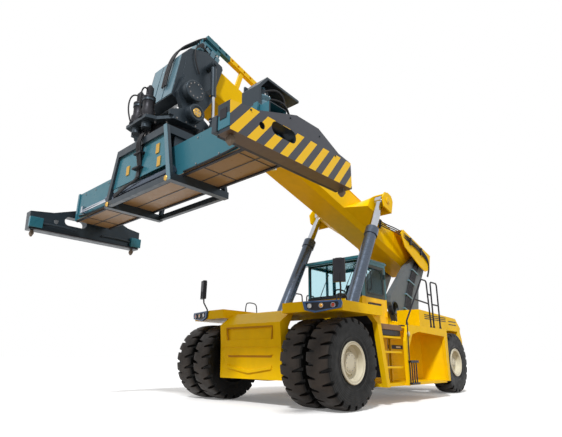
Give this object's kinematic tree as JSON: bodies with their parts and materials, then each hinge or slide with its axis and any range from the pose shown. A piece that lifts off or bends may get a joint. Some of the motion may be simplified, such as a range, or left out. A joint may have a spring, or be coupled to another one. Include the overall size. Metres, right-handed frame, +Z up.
{
  "type": "reach stacker",
  "caption": "Container reach stacker with a telescopic lifting boom, a cab between the boom posts and a telescopic top-lift spreader on a slewing head.",
  "frame": {"origin": "on the ground, below the middle of the whole machine measured over all its parts at rest", "axes": "+X forward along the boom towards the spreader, +Y to the machine's left, +Z up"},
  "size_m": [11.4, 6.42, 7.3156],
  "materials": {
    "body_yellow": "gloss enamel",
    "frame_black": "satin paint",
    "frame_grey": "satin paint",
    "steel_blue": "satin paint",
    "cab_teal": "gloss enamel",
    "rim_cream": "gloss enamel",
    "tyre_rubber": "moulded rubber",
    "rod_chrome": "polished",
    "tinted_glass": "tinted",
    "seat_black": "grained",
    "lock_steel": "worn steel"
  },
  "bodies": {
    "chassis": {"chassis_frame": "frame_black", "nose": "body_yellow", "fenders": "body_yellow", "arch_liners": "frame_black", "lamp_clusters": "frame_black", "deck": "body_yellow", "side_boxes": "body_yellow", "side_arches": "body_yellow", "ladders": "frame_black", "handrails": "frame_black", "hood": "body_yellow", "engine": "frame_black", "counterweight": "body_yellow", "boom_posts": "frame_grey", "mirrors": "frame_black", "front_axle": "frame_black", "rear_axle": "frame_black", "cab_tub": "body_yellow", "cab_frame": "cab_teal", "cab_glass": "tinted_glass", "cab_seat": "seat_black", "cab_console": "seat_black"},
    "door": {"door_left": "body_yellow", "door_glass": "tinted_glass"},
    "boom": {"boom_outer": "body_yellow", "eye_hoods": "body_yellow"},
    "telescope": {"boom_inner": "body_yellow", "boom_head": "steel_blue", "hose_beam": "steel_blue"},
    "damper_barrels": {"damper_barrels": "steel_blue"},
    "damper_rods": {"damper_rods": "rod_chrome"},
    "rotator": {"rotator": "steel_blue"},
    "slewing": {"slew_ring": "steel_blue", "shift_frame": "steel_blue", "shift_barrels": "frame_grey"},
    "spreader": {"main_beam": "steel_blue", "shift_rods": "rod_chrome", "drive_unit": "steel_blue"},
    "wheels_front_left": {"tyres_front_left": "tyre_rubber", "rim_front_left": "rim_cream"},
    "knuckle_left": {"knuckle_left": "frame_black"},
    "wheel_rear_left": {"tyre_rear_left": "tyre_rubber", "rim_rear_left": "rim_cream"},
    "lift_barrel_left": {"lift_barrel_left": "frame_grey"},
    "lift_rod_left": {"lift_rod_left": "rod_chrome"},
    "beam_left": {"beam_left": "steel_blue"},
    "twistlock_front_left": {"twistlock_front_left": "lock_steel"},
    "twistlock_rear_left": {"twistlock_rear_left": "lock_steel"},
    "wheels_front_right": {"tyres_front_right": "tyre_rubber", "rim_front_right": "rim_cream"},
    "knuckle_right": {"knuckle_right": "frame_black"},
    "wheel_rear_right": {"tyre_rear_right": "tyre_rubber", "rim_rear_right": "rim_cream"},
    "lift_barrel_right": {"lift_barrel_right": "frame_grey"},
    "lift_rod_right": {"lift_rod_right": "rod_chrome"},
    "beam_right": {"beam_right": "steel_blue"},
    "twistlock_front_right": {"twistlock_front_right": "lock_steel"},
    "twistlock_rear_right": {"twistlock_rear_right": "lock_steel"}
  },
  "joints": [
    {"name": "front_wheels_left", "type": "hinge", "parent": "chassis", "child": "wheels_front_left", "pos_m": [1.63, 1.57, 0.8], "axis": [0, 1, 0], "continuous": true},
    {"name": "steer_left", "type": "hinge", "parent": "chassis", "child": "knuckle_left", "pos_m": [-4.37, 1.03, 0.8], "axis": [0, 0, 1], "range_deg": [-45, 45]},
    {"name": "rear_wheel_left", "type": "hinge", "parent": "knuckle_left", "child": "wheel_rear_left", "pos_m": [-4.37, 1.33, 0.8], "axis": [0, 1, 0], "continuous": true},
    {"name": "front_wheels_right", "type": "hinge", "parent": "chassis", "child": "wheels_front_right", "pos_m": [1.63, -1.57, 0.8], "axis": [0, 1, 0], "continuous": true},
    {"name": "steer_right", "type": "hinge", "parent": "chassis", "child": "knuckle_right", "pos_m": [-4.37, -1.03, 0.8], "axis": [0, 0, 1], "range_deg": [-45, 45]},
    {"name": "rear_wheel_right", "type": "hinge", "parent": "knuckle_right", "child": "wheel_rear_right", "pos_m": [-4.37, -1.33, 0.8], "axis": [0, 1, 0], "continuous": true},
    {"name": "cab_door", "type": "hinge", "parent": "chassis", "child": "door", "pos_m": [-1.898, 0.856, 2.4], "axis": [0, 0, 1], "range_deg": [0, 80]},
    {"name": "boom_lift", "type": "hinge", "parent": "chassis", "child": "boom", "pos_m": [-4.67, 0, 3.85], "axis": [0, -1, 0], "range_deg": [-16.3, 43.7]},
    {"name": "boom_extend", "type": "slide", "parent": "boom", "child": "telescope", "axis": [-0.9598, 0, -0.2807], "range_m": [-6.4, 0]},
    {"name": "lift_barrel_swing_left", "type": "hinge", "parent": "chassis", "child": "lift_barrel_left", "pos_m": [0.68, 1.03, 0.85], "axis": [0, -1, 0], "range_deg": [-0.77, 1.97]},
    {"name": "lift_rod_left", "type": "slide", "parent": "lift_barrel_left", "child": "lift_rod_left", "axis": [-0.4833, 0, 0.8755], "range_m": [-0.892, 2.389]},
    {"name": "lift_barrel_swing_right", "type": "hinge", "parent": "chassis", "child": "lift_barrel_right", "pos_m": [0.68, -1.03, 0.85], "axis": [0, -1, 0], "range_deg": [-0.77, 1.97]},
    {"name": "lift_rod_right", "type": "slide", "parent": "lift_barrel_right", "child": "lift_rod_right", "axis": [-0.4833, 0, 0.8755], "range_m": [-0.892, 2.389]},
    {"name": "head_swing", "type": "hinge", "parent": "telescope", "child": "rotator", "pos_m": [4.43, 0, 5.08], "axis": [0, 1, 0], "range_deg": [-16.3, 43.7]},
    {"name": "damper_barrel_swing", "type": "hinge", "parent": "telescope", "child": "damper_barrels", "pos_m": [4.02, 0, 6.39], "axis": [0, 1, 0], "range_deg": [-7.58, 2.89]},
    {"name": "damper_rod", "type": "slide", "parent": "damper_barrels", "child": "damper_rods", "axis": [-0.0495, 0, -0.9988], "range_m": [-0.307, 0.116]},
    {"name": "slew", "type": "hinge", "parent": "rotator", "child": "slewing", "pos_m": [4.43, 0, 4.79], "axis": [0, 0, 1], "range_deg": [-105, 195]},
    {"name": "side_shift", "type": "slide", "parent": "slewing", "child": "spreader", "axis": [0, 1, 0], "range_m": [-0.8, 0.8]},
    {"name": "spread_left", "type": "slide", "parent": "spreader", "child": "beam_left", "axis": [0, 1, 0], "range_m": [-0.17, 2.89]},
    {"name": "spread_right", "type": "slide", "parent": "spreader", "child": "beam_right", "axis": [0, -1, 0], "range_m": [-0.17, 2.89]},
    {"name": "lock_front_left", "type": "hinge", "parent": "beam_left", "child": "twistlock_front_left", "pos_m": [5.5595, 3.1, 3.4], "axis": [0, 0, 1], "range_deg": [0, 90]},
    {"name": "lock_rear_left", "type": "hinge", "parent": "beam_left", "child": "twistlock_rear_left", "pos_m": [3.3005, 3.1, 3.4], "axis": [0, 0, 1], "range_deg": [0, 90]},
    {"name": "lock_front_right", "type": "hinge", "parent": "beam_right", "child": "twistlock_front_right", "pos_m": [5.5595, -3.1, 3.4], "axis": [0, 0, 1], "range_deg": [0, 90]},
    {"name": "lock_rear_right", "type": "hinge", "parent": "beam_right", "child": "twistlock_rear_right", "pos_m": [3.3005, -3.1, 3.4], "axis": [0, 0, 1], "range_deg": [0, 90]}
  ],
  "couplings": [
    {"joint": "steer_right", "follows": "steer_left", "ratio": 1},
    {"joint": "lift_barrel_swing_left", "follows": "boom_lift", "ratio": 0.0439},
    {"joint": "lift_rod_left", "follows": "boom_lift", "m_per_rad": 3.13},
    {"joint": "lift_barrel_swing_right", "follows": "boom_lift", "ratio": 0.0439},
    {"joint": "lift_rod_right", "follows": "boom_lift", "m_per_rad": 3.13},
    {"joint": "damper_barrel_swing", "follows": "head_swing", "ratio": -0.1712},
    {"joint": "damper_rod", "follows": "head_swing", "m_per_rad": -0.3999},
    {"joint": "spread_right", "follows": "spread_left", "ratio": 1},
    {"joint": "lock_rear_left", "follows": "lock_front_left", "ratio": 1},
    {"joint": "lock_front_right", "follows": "lock_front_left", "ratio": 1},
    {"joint": "lock_rear_right", "follows": "lock_front_left", "ratio": 1}
  ]
}
